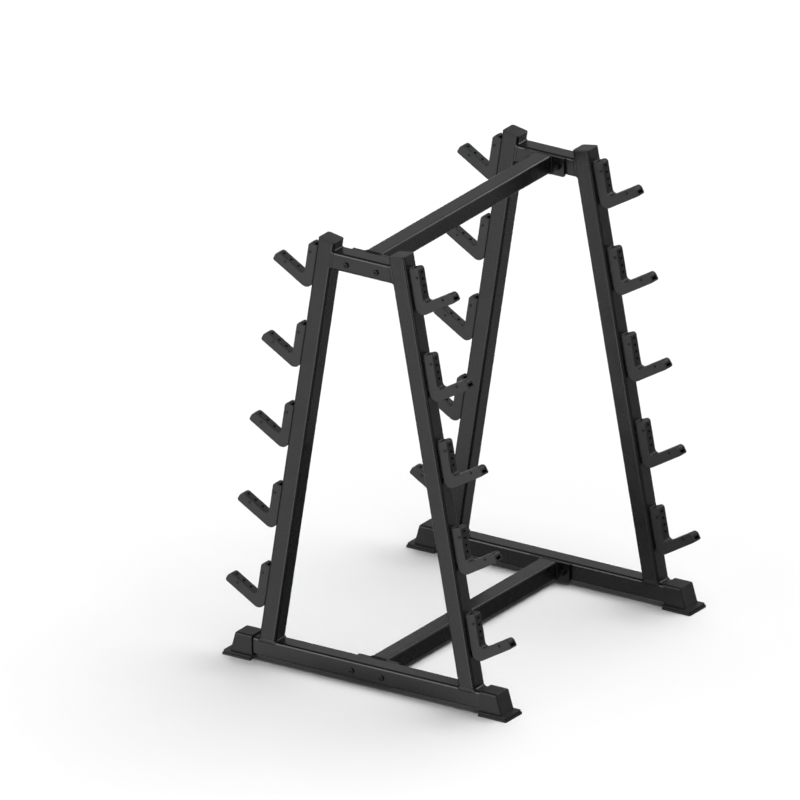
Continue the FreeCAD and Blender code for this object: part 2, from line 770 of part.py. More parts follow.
def draw_liner_side(sketch):
    lines, arcs = outline(sketch, liner_corners())
    leg_top, leg_front, arm_top, tip, arm_bottom, back = lines
    for line in (leg_front, back):
        sketch.addConstraint(Sketcher.Constraint("Vertical", line))
    sketch.addConstraint(Sketcher.Constraint("Parallel", arm_top, arm_bottom))
    sketch.addConstraint(Sketcher.Constraint("Perpendicular", arm_bottom, tip))
    height = "leg_height + ( leg_depth + liner_proud - liner_thickness ) * tan( top_angle * 1deg )"
    rise = "( arm_thickness + liner_proud - liner_thickness )"
    add_size(sketch, "top_angle", "top_angle * 1deg", "Angle", leg_top)
    add_size(sketch, "arm_angle", "arm_angle * 1deg", "Angle", arm_top)
    add_size(sketch, "back_offset", "back_pad + leg_depth + liner_proud - liner_thickness", "DistanceX",
             -1, 1, leg_top, 1)
    add_size(sketch, "leg_height", height, "DistanceY", -1, 1, leg_top, 1)
    add_size(sketch, "leg_front", "back_pad + leg_depth + liner_proud", "DistanceX", -1, 1, leg_front, 1)
    add_size(sketch, "tip_reach", f"tip_reach - {rise} * sin( arm_angle * 1deg )", "DistanceX",
             -1, 1, tip, 2)
    add_size(sketch, "tip_rise", f"tip_rise + {rise} * cos( arm_angle * 1deg )", "DistanceY",
             -1, 1, tip, 2)
    add_size(sketch, "thickness", "liner_thickness", "Distance", arm_top, 1, arm_bottom)
    rounds = {
        1: "top_round",
        2: "cradle_round - liner_proud",
        3: "tip_round",
        5: "cradle_round + liner_thickness",
    }
    for corner, formula in rounds.items():
        add_size(sketch, f"round_{corner}", formula, "Radius", arcs[corner])


def hook_liner(name):
    """Plastic strip with a little play between the side plates: bars rest on it.

    Blind round recesses lighten it.
    """
    body = new_body(name)
    side_view = new_sketch(body, "XZ_Plane", f"{name}_side")
    draw_liner_side(side_view)
    pad(body, side_view, "hook_width - 2 * ( side_plate + liner_gap )")
    half = evaluate("hook_width / 2 - side_plate - liner_gap")
    round_edges(body, lambda edge: lies_at_side(edge, half), "liner_round")
    face = evaluate("back_pad + leg_depth + liner_proud")
    leg_holes = new_sketch(body, "YZ_Plane", f"{name}_leg_recesses",
                           Placement(Vector(0, 0, face), Rotation()))
    for i in range(LEG_RECESSES):
        circle(leg_holes, f"recess_{i + 1}", "0", f"recess_first + {i} * recess_pitch", "recess_diameter")
    pocket(body, leg_holes, "recess_depth", both_ways=False)
    tip_x, tip_z, _ = liner_corners()[3]
    arm_face = Placement(Vector(0, tip_z, tip_x), Rotation(X_AXIS, -90 - math.degrees(ARM)))
    arm_holes = new_sketch(body, "YZ_Plane", f"{name}_arm_recesses", arm_face)
    for i in range(ARM_RECESSES):
        circle(arm_holes, f"recess_{i + 1}", "0", f"arm_recess_first + {i} * arm_recess_pitch",
               "recess_diameter")
    pocket(body, arm_holes, "recess_depth", both_ways=False)
    screw_holes = new_sketch(body, "XZ_Plane", f"{name}_screw_holes")
    draw_screw_holes(screw_holes)
    pocket(body, screw_holes)
    return body


def hook_liners():
    """One node for each upright, holding its five liners as separate solids."""
    for end in ENDS:
        for side in SIDES:
            members = []
            for number in range(1, HOOKS_PER_UPRIGHT + 1):
                body = hook_liner(f"liner_{end}_{side}_{number}")
                body.Placement = hook_place(end, side, number)
                members.append(body)
            keep_group(f"hook_liners_{end}_{side}", members)


# ---------------------------------------------------------------- fasteners

def keep_group(label, members):
    """Identical loose pieces kept together as one node of separate solids."""
    group = doc.addObject("Part::Compound", label)
    group.Links = members
    keep(group, label)


def disc(name, diameter, length, start="0"):
    """A cylinder along +Y from the plane y = start."""
    item = doc.addObject("Part::Cylinder", name)
    bind(item, Radius=f"( {diameter} ) / 2", Height=length)
    item.Placement = Placement(Vector(0, evaluate(start), 0), Rotation(X_AXIS, -90))
    item.setExpression("Placement.Base.y", cell(start))
    return item


def hexagon(name, flats, length, start="0"):
    """A hexagonal prism along +Y from the plane y = start."""
    item = doc.addObject("Part::Prism", name)
    item.Polygon = 6
    bind(item, Circumradius=f"( {flats} ) / sqrt( 3 )", Height=length)
    item.Placement = Placement(Vector(0, evaluate(start), 0), Rotation(X_AXIS, -90))
    item.setExpression("Placement.Base.y", cell(start))
    return item


def cut(name, base, tool):
    item = doc.addObject("Part::Cut", name)
    item.Base = base
    item.Tool = tool
    return item


def fuse(name, shapes):
    item = doc.addObject("Part::MultiFuse", name)
    item.Shapes = shapes
    return item


def rounded(name, base, choose, radius):
    """Fillet the edges of a Part object for which choose(edge) is true."""
    doc.recompute()
    item = doc.addObject("Part::Fillet", name)
    item.Base = base
    reach = evaluate(radius)
    item.Edges = [(i, reach, reach) for i, edge in enumerate(base.Shape.Edges, start=1) if choose(edge)]
    return item


def rim_at(y):
    """True for a circular edge that lies in the plane at this y."""
    def lies_there(edge):
        low, high = edge.BoundBox.YMin, edge.BoundBox.YMax
        return isinstance(edge.Curve, Part.Circle) and abs(low - y) < CLOSE and abs(high - y) < CLOSE
    return lies_there


def bolt(name):
    """Button-head socket bolt: the head bears at y = 0 and the shank runs along +Y."""
    head_disc = disc(f"{name}_head", "head_diameter", "head_height", "- head_height")
    head = rounded(f"{name}_dome", head_disc, rim_at(-size("head_height")), "head_dome")
    grip = "tube_side + flange_thickness + washer_thickness + nut_height + thread_end"
    shank = disc(f"{name}_shank", "bolt_diameter", grip)
    blank = fuse(f"{name}_blank", [head, shank])
    socket = hexagon(f"{name}_socket", "head_socket", "socket_depth", "- head_height")
    return cut(name, blank, socket)


def washer(name):
    plate = disc(f"{name}_plate", "washer_diameter", "washer_thickness")
    return cut(name, plate, disc(f"{name}_bore", "fastener_bore", "washer_thickness"))


def nut(name):
    blank = hexagon(f"{name}_blank", "nut_flats", "nut_height")
    return cut(name, blank, disc(f"{name}_bore", "fastener_bore", "nut_height"))


def frame_fasteners():
    """Eight bolts through the end frames, each with a washer and nut behind its flange plate."""
    outer_face = evaluate("( frame_spacing + tube_side ) / 2")
    offsets = {
        "bolt": 0,
        "washer": evaluate("tube_side + flange_thickness"),
        "nut": evaluate("tube_side + flange_thickness + washer_thickness"),
    }
    makers = {"bolt": bolt, "washer": washer, "nut": nut}
    for kind, make in makers.items():
        members = []
        for level, height in flange_heights().items():
            for end, sign in ENDS.items():
                for side, across in SIDES.items():
                    item = make(f"{kind}_{level}_{end}_{side}")
                    turn = Rotation(Z_AXIS, 180) if end == "rear" else Rotation()
                    y = sign * (outer_face - offsets[kind])
                    item.Placement = Placement(Vector(across * size("bolt_offset"), y, height), turn)
                    members.append(item)
        keep_group(f"flange_{kind}s", members)


def liner_screw(name):
    """Cross screw of a hook: a low round head on each side plate, with a hex socket in one."""
    half = evaluate("hook_width / 2")
    tall = size("screw_head_height")
    shank = disc(f"{name}_shank", "screw_diameter", "hook_width", "- hook_width / 2")
    near_disc = disc(f"{name}_near", "screw_head", "screw_head_height",
                     "- hook_width / 2 - screw_head_height")
    far_disc = disc(f"{name}_far", "screw_head", "screw_head_height", "hook_width / 2")
    near = rounded(f"{name}_near_dome", near_disc, rim_at(-half - tall), "screw_dome")
    far = rounded(f"{name}_far_dome", far_disc, rim_at(half + tall), "screw_dome")
    blank = fuse(f"{name}_blank", [near, shank, far])
    socket = hexagon(f"{name}_socket", "screw_socket", "screw_socket_depth",
                     "- hook_width / 2 - screw_head_height")
    return cut(name, blank, socket)


def liner_screws():
    """One node for each upright, holding the two cross screws of each of its hooks."""
    for end in ENDS:
        for side in SIDES:
            members = []
            for number in range(1, HOOKS_PER_UPRIGHT + 1):
                for place, (x, z) in SCREW_PLACES.items():
                    screw = liner_screw(f"screw_{end}_{side}_{number}_{place}")
                    spot = Placement(Vector(evaluate(x), 0, evaluate(z)), Rotation())
                    screw.Placement = hook_place(end, side, number) * spot
                    members.append(screw)
            keep_group(f"hook_screws_{end}_{side}", members)


# ---------------------------------------------------------------- build, check and write

def build():
    base_tubes()
    crosspieces()
    long_tubes()
    flange_plates()
    for end in ENDS:
        for side in SIDES:
            upright(end, side)
            end_cap(end, side)
            foot_boot(end, side)
    for hook in each_hook():
        hook_bracket(*hook)
    hook_liners()
    frame_fasteners()
    liner_screws()
    doc.recompute()


def check():
    for item in doc.Objects:
        if "Invalid" in item.State or "Error" in item.State:
            raise RuntimeError(f"{item.Label} failed: {item.State}")
    for item in kept:
        if item.Shape.isNull() or not item.Shape.isValid():
            raise RuntimeError(f"{item.Label} has no valid shape")


def write():
    os.makedirs("parts", exist_ok=True)
    for item in kept:
        item.Shape.exportStep(f"parts/{item.Label}.step")
        solids = len(item.Shape.Solids)
        print(f"{item.Label}: {solids} solid(s), {item.Shape.Volume / 1000:.1f} cm3")


build()
check()
write()
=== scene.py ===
"""Looks for the double-sided barbell rack: coated steel, plastic, rubber, weld beads and a plain studio.

Metres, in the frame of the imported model: X across the A-frames, Y along the rack, Z up, floor at z = 0.
"""
import json
import math

import bpy
import numpy as np
from mathutils import Matrix, Vector


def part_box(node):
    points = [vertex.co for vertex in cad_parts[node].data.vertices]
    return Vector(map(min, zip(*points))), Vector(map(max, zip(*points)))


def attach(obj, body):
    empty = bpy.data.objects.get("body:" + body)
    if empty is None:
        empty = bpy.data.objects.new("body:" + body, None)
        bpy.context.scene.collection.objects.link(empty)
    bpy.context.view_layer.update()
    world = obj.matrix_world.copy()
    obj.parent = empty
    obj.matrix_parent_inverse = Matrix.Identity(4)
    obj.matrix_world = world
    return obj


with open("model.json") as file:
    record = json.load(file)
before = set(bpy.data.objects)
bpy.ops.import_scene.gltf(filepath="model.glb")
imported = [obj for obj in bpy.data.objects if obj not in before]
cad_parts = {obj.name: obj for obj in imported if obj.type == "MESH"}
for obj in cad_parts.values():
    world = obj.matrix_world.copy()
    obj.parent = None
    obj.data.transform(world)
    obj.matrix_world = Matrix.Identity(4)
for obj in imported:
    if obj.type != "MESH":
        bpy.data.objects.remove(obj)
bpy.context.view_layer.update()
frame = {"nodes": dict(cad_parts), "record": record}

ENDS = ("front", "rear")
SIDES = ("left", "right")
HOOKS_PER_UPRIGHT = 5

X_AXIS = Vector((1, 0, 0))
Y_AXIS = Vector((0, 1, 0))
Z_AXIS = Vector((0, 0, 1))
MM = 0.001
BLACK = (0, 0, 0, 1)
WHITE = (1, 1, 1, 1)

# ---------------------------------------------------------------- camera

AZIMUTH = math.radians(34.11)  # the view looks along +Y, turned this far towards -X
ELEVATION = math.radians(22.39)
ROLL = math.radians(-0.77)
LOOK_AT = Vector((-0.2257, 0, 0.7134))
VIEW_SIZE = 2.4486
CAMERA_DISTANCE = 6
CAMERA_REACH = 100


def make_camera():
    back = Vector((math.sin(AZIMUTH) * math.cos(ELEVATION),
                   -math.cos(AZIMUTH) * math.cos(ELEVATION),
                   math.sin(ELEVATION)))
    level = Vector((math.cos(AZIMUTH), math.sin(AZIMUTH), 0))
    upright = back.cross(level)
    right = math.cos(ROLL) * level + math.sin(ROLL) * upright
    up = back.cross(right)
    data = bpy.data.cameras.new("camera")
    data.type = "ORTHO"
    data.ortho_scale = VIEW_SIZE
    data.clip_end = CAMERA_REACH
    camera = bpy.data.objects.new("camera", data)
    camera.matrix_world = Matrix.Translation(LOOK_AT + CAMERA_DISTANCE * back) @ \
        Matrix((right, up, back)).transposed().to_4x4()
    bpy.context.scene.collection.objects.link(camera)
    bpy.context.scene.camera = camera


# ---------------------------------------------------------------- studio

SQUARE = ((-1, -1), (1, -1), (1, 1), (-1, 1))
BOX_FACES = ((0, 1, 2, 3), (4, 7, 6, 5), (0, 4, 5, 1), (1, 5, 6, 2), (2, 6, 7, 3), (3, 7, 4, 0))
FLOOR_HALF = 60
BACKDROP_HALF = 58.8
# the flag: a dark card seen only in gloss, a painted shadow in what the rack mirrors
FLAG_HALF_X = 0.8
FLAG_HALF_Y = 0.78
FLAG_HEIGHT = 0.5 * MM
FLAG_SHADE = 0.7
FLAG_SOLID = 0.65  # share of the flag's half size where it isn't faded
FLOOR_PAINTED_SHADE_TONE = 0.83  # how pale the floor is under the rack, where painted shade darkens it
FLOOR_FAR = 0.89
FLOOR_SHADE_FADE = (0.3, 2.2)  # distances from the origin over which the painted shade fades out, from near to far
DIM_LIGHT = 0.05
OVERHEAD_STRENGTH = 3.4
OVERHEAD_FROM = (0.7, 1.3, 5)
OVERHEAD_SPREAD = math.radians(58)

# glows of the studio walls: (towards, radiance, degrees to where it starts to fade, degrees to its end)
WALL_GLOWS = {
    "front_left": ((-0.52, -0.77, -0.38), 0.74, 20, 44),
    "front": ((-0.12, -0.92, -0.38), 1.40, 8, 26),
    "back_left": ((-0.56, 0.77, 0.30), 0.37, 20, 40),
    "back_high": ((0.08, 0.77, 0.64), 0.35, 10, 28),
    "back_right": ((0.52, 0.77, -0.38), 0.22, 22, 45),
    "back_right_level": ((0.60, 0.76, 0.24), 0.40, 8, 24),
    "left_low": ((-0.66, 0.56, -0.50), 0.80, 18, 34),
    "right_high": ((0.68, -0.66, 0.32), 0.20, 15, 32),
    "right_low": ((0.82, -0.42, -0.40), 0.16, 15, 40),
}

# soft boxes: (radiance, place, what it faces, width, height, colour, whether it lights matt surfaces)
SOFT_BOXES = {
    "soft_box_side": (3.5, (3.2, -2.6, 1.0), (0, 0, 0.6), 1.4, 0.5, (1, 1, 1), True),
    "soft_box_front": (3.6, (-6.3, -9.7, 4.5), (0, 0, 0.9), 8.2, 8.2, (1, 1, 1), False),
    "soft_box_back": (3.6, (1.32, 3.62, 3.52), (0, 0, 1.2), 1.8, 1.45, (0.88, 0.94, 1), False),
}


def add_lamp(name, kind, energy, location, look_at, **settings):
    """A lamp at location that faces look_at."""
    data = bpy.data.lights.new(name, kind)
    data.energy = energy
    for key, value in settings.items():
        setattr(data, key, value)
    lamp = bpy.data.objects.new(name, data)
    lamp.location = location
    lamp.rotation_euler = (Vector(location) - Vector(look_at)).to_track_quat("Z", "Y").to_euler()
    bpy.context.scene.collection.objects.link(lamp)
    return lamp


def add_soft_box(name, radiance, location, look_at, width, height, colour, lights_matt):
    """A rectangular area lamp that looks equally bright from everywhere in front of it."""
    energy = radiance * math.pi * width * height
    lamp = add_lamp(name, "AREA", energy, location, look_at,
                    shape="RECTANGLE", size=width, size_y=height, color=colour)
    lamp.visible_diffuse = lights_matt


def make_walls():
    """A dim room whose walls glow where the tubes' flat faces mirror them."""
    world = bpy.data.worlds.new("studio")
    world.use_nodes = True
    nodes = Nodes(world.node_tree, "Background")
    direction = nodes.add("ShaderNodeTexCoord").outputs["Generated"]
    light = DIM_LIGHT
    for towards, radiance, inner, outer in WALL_GLOWS.values():
        along = nodes.add("ShaderNodeVectorMath", {"operation": "DOT_PRODUCT"}, _0=direction,
                          _1=Vector(towards).normalized())
        glow = nodes.ramp(along.outputs["Value"], 0, radiance,
                          math.cos(math.radians(outer)), math.cos(math.radians(inner)), "SMOOTHSTEP")
        light = nodes.maths("ADD", glow, light)
    nodes.feed(nodes.shader, Color=WHITE, Strength=light)
    bpy.context.scene.world = world


def make_studio():
    """A soft overhead light that casts the shadow, and the walls and soft boxes that gloss mirrors."""
    bpy.context.scene.view_settings.view_transform = "Standard"
    make_walls()
    overhead = add_lamp("overhead", "SUN", OVERHEAD_STRENGTH, OVERHEAD_FROM, (0, 0, 0),
                        angle=OVERHEAD_SPREAD)
    overhead.visible_glossy = False
    for name, settings in SOFT_BOXES.items():
        add_soft_box(name, *settings)


def add_stage_piece(name, corners, faces, material, camera=False, diffuse=False, glossy=False,
                    shadow=False):
    """A piece of the studio that only the named kinds of ray see."""
    mesh = bpy.data.meshes.new(name)
    mesh.from_pydata(corners, [], faces)
    mesh.materials.append(material)
    piece = bpy.data.objects.new(name, mesh)
    piece.visible_camera = camera
    piece.visible_diffuse = diffuse
    piece.visible_glossy = glossy
    piece.visible_shadow = shadow
    bpy.context.scene.collection.objects.link(piece)


def make_floor():
    corners = [(x * FLOOR_HALF, y * FLOOR_HALF, 0) for x, y in SQUARE]
    add_stage_piece("floor", corners, [(0, 1, 2, 3)], pale_floor("pale_floor"),
                    camera=True, diffuse=True, shadow=True)


def make_backdrop():
    """A white shell far round the floor, which nothing but the camera sees."""
    material, nodes = new_material("backdrop_white")
    nodes.feed(nodes.shader, Base_Color=BLACK, Emission_Color=WHITE, Emission_Strength=1.0)
    corners = [(x * BACKDROP_HALF, y * BACKDROP_HALF, z * BACKDROP_HALF)
               for z in (-1, 1) for x, y in SQUARE]
    add_stage_piece("backdrop", corners, BOX_FACES, material, camera=True)


def make_painted_shadow_flag():
    """A dark card under the rack, with a faded rim, that shows in gloss alone: a painted shadow.

    It stands in for the floor's shadow in what the feet and the low tubes mirror, taking the walls' glow
    out of it.
    """
    material, nodes = new_material("painted_shadow_flag")
    distance = nodes.origin_distance((FLAG_HALF_X, FLAG_HALF_Y, 1))
    # painted shadow: the card is darkest in the middle and fades out towards its rim
    shade = nodes.ramp(distance, FLAG_SHADE, 0, FLAG_SOLID, 1, "SMOOTHSTEP")
    nodes.feed(nodes.shader, Base_Color=BLACK, Alpha=shade, Roughness=1.0, Specular_IOR_Level=0)
    corners = [(x * FLAG_HALF_X, y * FLAG_HALF_Y, FLAG_HEIGHT) for x, y in SQUARE]
    add_stage_piece("flag", corners, [(0, 1, 2, 3)], material, glossy=True)


# ---------------------------------------------------------------- materials

# how well the bevelled normal agrees with the true one, on a sharp edge and on a flat face
SHARP_EDGE = 0.65
FLAT_FACE = 0.995


class Nodes:
    """Adds nodes to a node tree: inputs are named by keyword and take a number or another output."""

    def __init__(self, tree, shader):
        self.tree = tree
        self.shader = tree.nodes[shader]

    def add(self, kind, settings=None, **inputs):
        node = self.tree.nodes.new(kind)
        for key, value in (settings or {}).items():
            setattr(node, key, value)
        self.feed(node, **inputs)
        return node

    def feed(self, node, **inputs):
        for key, value in inputs.items():
            socket = node.inputs[int(key[1:])] if key[0] == "_" else node.inputs[key.replace("_", " ")]
            if isinstance(value, bpy.types.NodeSocket):
                self.tree.links.new(value, socket)
            else:
                socket.default_value = value

    def place(self):
        """The point's place in the frame: every piece has its origin there."""
        return self.add("ShaderNodeTexCoord").outputs["Object"]

    def noise(self, scale, detail):
        node = self.add("ShaderNodeTexNoise", Vector=self.place(), Scale=scale, Detail=detail)
        return node.outputs["Fac"]

    def ramp(self, value, low, high, from_low=0.3, from_high=0.7, shape="LINEAR"):
        """The value's usual span, from_low to from_high, stretched to low..high."""
        node = self.add("ShaderNodeMapRange", {"interpolation_type": shape}, Value=value,
                        From_Min=from_low, From_Max=from_high, To_Min=low, To_Max=high)
        return node.outputs["Result"]

    def maths(self, operation, first, second):
        node = self.add("ShaderNodeMath", {"operation": operation}, _0=first, _1=second)
        return node.outputs["Value"]

    def mix(self, share, first, second):
        """Blend of two colours, each a 3-tuple or an output."""
        node = self.add("ShaderNodeMix", {"data_type": "RGBA"})
        self.feed(node, _0=share)
        for index, colour in ((6, first), (7, second)):
            value = colour if isinstance(colour, bpy.types.NodeSocket) else (*colour, 1)
            self.feed(node, **{f"_{index}": value})
        return node.outputs[2]

    def edges(self, radius):
        """From 0 on a flat or gently rounded face to 1 on a sharp edge, within the radius of it."""
        soft = self.add("ShaderNodeBevel", {"samples": 4}, Radius=radius).outputs["Normal"]
        true = self.add("ShaderNodeNewGeometry").outputs["Normal"]
        dot = self.add("ShaderNodeVectorMath", {"operation": "DOT_PRODUCT"}, _0=soft, _1=true)
        return self.ramp(dot.outputs["Value"], 1, 0, SHARP_EDGE, FLAT_FACE)

    def drift(self, colour, share, scale):
        """The colour, up to a share darker or lighter in slow patches."""
        slow = self.ramp(self.noise(scale, detail=3), 0, 1)
        return self.mix(slow, scaled(colour, 1 - share), scaled(colour, 1 + share))

    def smear(self, roughness, spread, scale):
        """The roughness, up to the spread smoother or rougher in patches."""
        patches = self.ramp(self.noise(scale, detail=4), -spread, spread)
        return self.maths("ADD", patches, roughness)

    def rub(self, tone, worn, radius, share):
        """The tone, mixed with the worn colour by a share along the sharp edges."""
        return self.mix(self.maths("MULTIPLY", self.edges(radius), share), tone, worn)

    def origin_distance(self, per_axis=(1, 1, 1)):
        """How far the point is from the frame's origin, with each axis in its own unit."""
        place = self.add("ShaderNodeVectorMath", {"operation": "DIVIDE"}, _0=self.place(), _1=per_axis)
        length = self.add("ShaderNodeVectorMath", {"operation": "LENGTH"}, _0=place.outputs["Vector"])
        return length.outputs["Value"]

    def relief(self, *layers):
        """Bump from (height, depth in metres) layers, the last one on top."""
        normal = None
        for height, depth in layers:
            node = self.add("ShaderNodeBump", Strength=1, Distance=depth, Height=height)
            if normal is not None:
                self.feed(node, Normal=normal)
            normal = node.outputs["Normal"]
        self.feed(self.shader, Normal=normal)


def new_material(name):
    """A new material and its nodes."""
    material = bpy.data.materials.new(name)
    material.use_nodes = True
    return material, Nodes(material.node_tree, "Principled BSDF")


def scaled(colour, factor):
    return tuple(channel * factor for channel in colour)


def powder_coat(name, colour, roughness, peel_scale, peel_depth, speck):
    """Black powder coat: orange peel, fine specks, slow shifts of tone, rubbed edges."""
    material, nodes = new_material(name)
    specks = nodes.maths("MULTIPLY", nodes.ramp(nodes.noise(scale=850, detail=2), 0, 1), speck)
    tone = nodes.mix(specks, nodes.drift(colour, share=0.12, scale=5.5), scaled(colour, 1.9))
    patches = nodes.ramp(nodes.noise(scale=60, detail=4), 0, 1, from_low=0.45, from_high=0.65)
    patches = nodes.ramp(patches, 0.25, 0.7, from_low=0, from_high=1)
    tone = nodes.rub(tone, worn=scaled(colour, 2.4), radius=1.1 * MM, share=patches)
    roughness = nodes.smear(roughness, spread=0.05, scale=14)
    nodes.feed(nodes.shader, Base_Color=tone, Roughness=roughness, IOR=1.5)
    peel = nodes.noise(peel_scale, detail=2)
    fine_peel = nodes.noise(peel_scale * 3.1, detail=2)
    nodes.relief((peel, peel_depth), (fine_peel, peel_depth * 0.3))
    return material


def moulded(name, colour, roughness, grain_scale, grain_depth, gloss):
    """Moulded plastic or rubber: fine mould grain, soft sheen changes, paler handled edges."""
    material, nodes = new_material(name)
    cells = nodes.add("ShaderNodeTexVoronoi", Vector=nodes.place(), Scale=grain_scale)
    grain = cells.outputs["Distance"]
    pits = nodes.maths("MULTIPLY", nodes.ramp(grain, 0, 1, from_low=0.1, from_high=0.6), 0.25)
    tone = nodes.mix(pits, nodes.drift(colour, share=0.14, scale=11), scaled(colour, 1.5))
    tone = nodes.rub(tone, worn=scaled(colour, 2.2), radius=0.9 * MM, share=0.5)
    roughness = nodes.smear(roughness, spread=0.06, scale=25)
    nodes.feed(nodes.shader, Base_Color=tone, Roughness=roughness, Specular_IOR_Level=gloss)
    nodes.relief((grain, grain_depth))
    return material


def black_zinc(name, colour):
    """Dark plated steel of the bolts, nuts and screws: fine grain and a little worn shine."""
    material, nodes = new_material(name)
    tone = nodes.drift(colour, share=0.25, scale=180)
    tone = nodes.rub(tone, worn=scaled(colour, 2.6), radius=0.5 * MM, share=0.8)
    roughness = nodes.ramp(nodes.noise(scale=420, detail=4), 0.3, 0.45)
    nodes.feed(nodes.shader, Base_Color=tone, Roughness=roughness, Metallic=0.85)
    nodes.relief((nodes.noise(scale=1500, detail=3), 0.03 * MM))
    return material


def pale_floor(name):
    """Matt and almost white, with painted shade that makes it a little darker under the rack, and faint
    clouds.
    """
    material, nodes = new_material(name)
    near, far = FLOOR_SHADE_FADE
    # painted shade: the floor's colour is darker near the rack and turns paler further out
    fade = nodes.ramp(nodes.origin_distance(), 0, 1, near, far, "SMOOTHSTEP")
    tone = nodes.ramp(fade, FLOOR_PAINTED_SHADE_TONE, FLOOR_FAR, from_low=0, from_high=1)
    clouds = nodes.ramp(nodes.noise(scale=1.5, detail=2), 0.98, 1.0)
    nodes.feed(nodes.shader, Base_Color=nodes.maths("MULTIPLY", tone, clouds), Roughness=0.9,
               Specular_IOR_Level=0)
    return material


SLOT_MATERIALS = {
    "frame_coat": powder_coat("frame_coat", (0.0075, 0.0077, 0.0082), roughness=0.27,
                              peel_scale=380, peel_depth=0.05 * MM, speck=0.12),
    "hook_coat": powder_coat("hook_coat", (0.015, 0.015, 0.015), roughness=0.42,
                             peel_scale=620, peel_depth=0.09 * MM, speck=0.3),
    "liner_plastic": moulded("liner_plastic", (0.007, 0.0071, 0.0074), roughness=0.42,
                             grain_scale=900, grain_depth=0.03 * MM, gloss=0.45),
    "cap_plastic": moulded("cap_plastic", (0.016, 0.016, 0.0162), roughness=0.45,
                           grain_scale=700, grain_depth=0.04 * MM, gloss=0.45),
    "boot_rubber": moulded("boot_rubber", (0.01, 0.0102, 0.0105), roughness=0.42,
                           grain_scale=480, grain_depth=0.05 * MM, gloss=0.4),
    "dark_fastener": black_zinc("dark_fastener", (0.035, 0.035, 0.037)),
}


def dress_nodes():
    """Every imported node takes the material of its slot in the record."""
    slots = {part["node"]: part["material_slot"] for part in frame["record"]["subparts"]}
    for name, node in frame["nodes"].items():
        material = SLOT_MATERIALS[slots[name]]
        if not node.material_slots:
            node.data.materials.append(material)
        for slot in node.material_slots:
            slot.material = material


# ---------------------------------------------------------------- weld beads

TUBE_CORNER = 9 * MM
RIPPLE_PITCH = 4.5 * MM
STATIONS_PER_RIPPLE = 5
SECTION_STEPS = 6
FACE_TOLERANCE = 0.05 * MM
ROOT_DEPTH = 0.5 * MM
RIPPLE_LAG = 0.45  # how far a ripple trails at mid width, in ripples
RIPPLE_VALLEY = 0.45  # share of the crown that stands between ripples
RIPPLE_RISE = 0.75  # share of the crown that a ripple adds
OPEN_DECK = 1  # half width of a surface that goes on past the bead

# each kind of bead: (reach on both surfaces, crown)
FOOT_BEAD = (5.5 * MM, 0.4 * MM)
CROSSPIECE_BEAD = (3.5 * MM, 0.3 * MM)
FLANGE_BEAD = (5 * MM, 2.2 * MM)
HOOK_BEAD = (3.6 * MM, 0.7 * MM)
HOOK_PAD_CORNER = 1.5 * MM


def footprint(node, into, across):
    """Where a node's end face lies: its centre, and its half sizes along and across.

    'into' points from the surface it is welded to into the node; 'along' is square to both.
    """
    along = across.cross(into)
    points = np.array([vertex.co for vertex in frame["nodes"][node].data.vertices])
    depth = points @ np.array(into)
    face = points[depth < depth.min() + FACE_TOLERANCE]
    centre = Vector((0, 0, 0))
    halves = []
    for direction in (along, across):
        reach = face @ np.array(direction)
        centre += direction * (reach.min() + reach.max()) / 2
        halves.append((reach.max() - reach.min()) / 2)
    centre += into * depth.min()
    return centre, along, halves[0], halves[1]


def over_edge(reach, half, corner):
    """(across, height) of the point that lies 'reach' from the middle of a tube's or plate's face.

    The way leads over the flat, round the corner, and down the side.
    """
    flat = half - corner
    sign = math.copysign(1, reach)
    beyond = abs(reach) - flat
    if beyond <= 0:
        return reach, 0
    quarter = corner * math.pi / 2
    if beyond < quarter:
        angle = beyond / corner
        return sign * (flat + corner * math.sin(angle)), corner * (math.cos(angle) - 1)
    return sign * half, quarter - beyond - corner


def rounded_rectangle(half_along, half_across, corner):
    """Evenly spaced (point, outward) pairs round a rectangle with rounded corners, in whole ripples."""
    straight = (2 * (half_across - corner), 2 * (half_along - corner))
    quarter = corner * math.pi / 2
    length = 2 * sum(straight) + 4 * quarter
    steps = round(length / RIPPLE_PITCH) * STATIONS_PER_RIPPLE
    along, across = half_along - corner, half_across - corner
    starts = ((along, -across), (along, across), (-along, across), (-along, -across))
    ring = []
    for i in range(steps):
        way = length * i / steps
        side = 0
        while way >= straight[side % 2] + quarter:
            way -= straight[side % 2] + quarter
            side += 1
        turn = side * math.pi / 2 + max(0, way - straight[side % 2]) / corner
        outward = Vector((math.cos(turn), math.sin(turn)))
        # the side starts at its corner's centre and runs a quarter turn on from its outward direction
        heading = Vector((-math.sin(side * math.pi / 2), math.cos(side * math.pi / 2)))
        centre = Vector(starts[side % 4]) + heading * min(way, straight[side % 2])
        ring.append((centre + outward * corner, outward))
    return ring


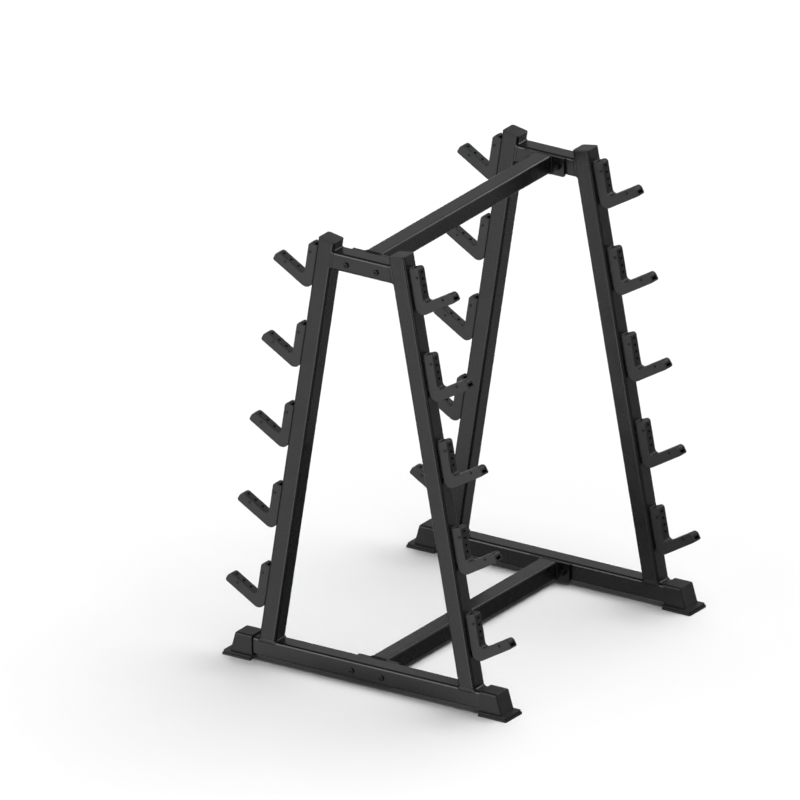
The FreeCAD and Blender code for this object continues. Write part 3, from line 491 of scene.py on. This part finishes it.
def weld_bead(name, node, into, across, wall, bead_size, corner, deck=None):
    """Rippled fillet of frame coat round a node's end face.

    'wall' is the direction of the node's sides, 'bead_size' one of the pairs above, and 'deck' the
    (middle, half width, corner) of the surface it stands on across the bead, if that surface ends
    close by.
    """
    leg, crown = bead_size
    centre, along, half_along, half_across = footprint(node, into, across)
    middle, deck_half, deck_corner = deck or (centre.dot(across), OPEN_DECK, 0)
    shift = centre.dot(across) - middle
    ring = rounded_rectangle(half_along, half_across, corner)

    def on_deck(spot):
        reach, height = over_edge(spot.y + shift, deck_half, deck_corner)
        return centre + along * spot.x + across * (reach - shift) + into * height

    vertices = []
    for i, (spot, outward) in enumerate(ring):
        phase = i / STATIONS_PER_RIPPLE
        toe = on_deck(spot + outward * leg)
        root = on_deck(spot) - into * ROOT_DEPTH
        top = centre + along * spot.x + across * spot.y + wall * leg
        chord = top - toe
        bulge = (toe + top) / 2 - root
        bulge = (bulge - bulge.project(chord)).normalized()
        for k in range(SECTION_STEPS + 1):
            share = k / SECTION_STEPS
            arch = 4 * share * (1 - share)
            ripple = abs(math.sin(math.pi * (phase + RIPPLE_LAG * arch)))
            height = crown * arch * (RIPPLE_VALLEY + RIPPLE_RISE * ripple)
            vertices.append(toe + chord * share + bulge * height)
        vertices.append(root)
    bead = mesh_piece(name, vertices, SECTION_STEPS + 2, len(ring), SLOT_MATERIALS["frame_coat"])


def mesh_piece(name, vertices, per_section, sections, material):
    """A closed ring of closed sections as a smooth mesh that rides on the rack."""
    faces = []
    for i in range(sections):
        here = i * per_section
        after = (i + 1) % sections * per_section
        for k in range(per_section):
            following = (k + 1) % per_section
            faces.append((here + k, here + following, after + following, after + k))
    mesh = bpy.data.meshes.new(name)
    mesh.from_pydata([tuple(vertex) for vertex in vertices], [], faces)
    mesh.validate()
    mesh.materials.append(material)
    mesh.shade_smooth()
    piece = bpy.data.objects.new(name, mesh)
    bpy.context.scene.collection.objects.link(piece)
    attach(piece, "root")
    return piece


def node_middle(node):
    low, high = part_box(node)
    return (low + high) / 2


def post_direction(end, side):
    """The way an upright leans: from its lowest hook to its highest, which are alike."""
    lowest = node_middle(f"hook_{end}_{side}_1")
    highest = node_middle(f"hook_{end}_{side}_{HOOKS_PER_UPRIGHT}")
    return (highest - lowest).normalized()


def outward_sign(side):
    return 1 if side == "right" else -1


def weld_frame():
    """Beads where the uprights stand on the base tubes and where the crosspieces meet them."""
    for end in ENDS:
        low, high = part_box(f"base_tube_{end}")
        deck = ((low.y + high.y) / 2, (high.y - low.y) / 2, TUBE_CORNER)
        for side in SIDES:
            post = post_direction(end, side)
            weld_bead(f"weld_foot_{end}_{side}", f"upright_{end}_{side}", Z_AXIS, Y_AXIS, post,
                      FOOT_BEAD, TUBE_CORNER, deck)
            inward = -outward_sign(side)
            weld_bead(f"weld_crosspiece_{end}_{side}", f"crosspiece_{end}", Y_AXIS.cross(post) * inward,
                      Y_AXIS, X_AXIS * inward, CROSSPIECE_BEAD, TUBE_CORNER, deck)


def weld_flanges():
    """Beads round the ends of the long tubes, on their flange plates."""
    for level, tube in (("upper", "top_long_tube"), ("lower", "bottom_long_tube")):
        for end, into in (("front", Y_AXIS), ("rear", -Y_AXIS)):
            low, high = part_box(f"{level}_flange_plate_{end}")
            deck = ((low.z + high.z) / 2, (high.z - low.z) / 2, 0)
            weld_bead(f"weld_flange_{level}_{end}", tube, into, Z_AXIS, into,
                      FLANGE_BEAD, TUBE_CORNER, deck)


def weld_hooks():
    """A bead round each hook's back pad, on the outer face of the upright."""
    for end in ENDS:
        for side in SIDES:
            into = Y_AXIS.cross(post_direction(end, side)) * outward_sign(side)
            for number in range(1, HOOKS_PER_UPRIGHT + 1):
                weld_bead(f"weld_hook_{end}_{side}_{number}", f"hook_{end}_{side}_{number}", into,
                          Y_AXIS, into, HOOK_BEAD, HOOK_PAD_CORNER)


# ---------------------------------------------------------------- build

make_camera()
make_studio()
make_floor()
make_painted_shadow_flag()
make_backdrop()
dress_nodes()
weld_frame()
weld_flanges()
weld_hooks()
